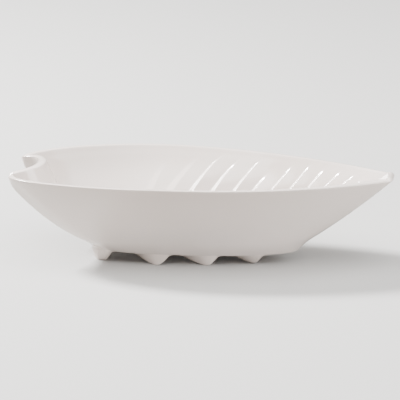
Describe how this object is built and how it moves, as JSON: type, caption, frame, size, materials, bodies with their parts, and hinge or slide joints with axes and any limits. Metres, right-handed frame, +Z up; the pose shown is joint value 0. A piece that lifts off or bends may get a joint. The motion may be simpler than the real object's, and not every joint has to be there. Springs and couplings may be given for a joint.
{
  "type": "leaf shaped bowl",
  "caption": "Deep leaf-shaped serving bowl in glazed white ceramic, with a heart-shaped stem end, a pointed tip, raised side veins inside and slanted foot ridges below",
  "frame": {"origin": "On the table, below the middle of the bowl's outline", "axes": "+X points along the leaf to its tip, +Y to the side of the left foot ridges, +Z up"},
  "size_m": [0.3204, 0.1624, 0.0793],
  "materials": {
    "glaze": "glossy",
    "foot_glaze": "glossy"
  },
  "bodies": {
    "root": {"leaf_bowl": "glaze", "foot_ridge_left_1": "foot_glaze", "foot_ridge_left_2": "foot_glaze", "foot_ridge_left_3": "foot_glaze", "foot_ridge_left_4": "foot_glaze", "foot_ridge_right_1": "foot_glaze", "foot_ridge_right_2": "foot_glaze", "foot_ridge_right_3": "foot_glaze", "foot_ridge_right_4": "foot_glaze"}
  },
  "joints": []
}
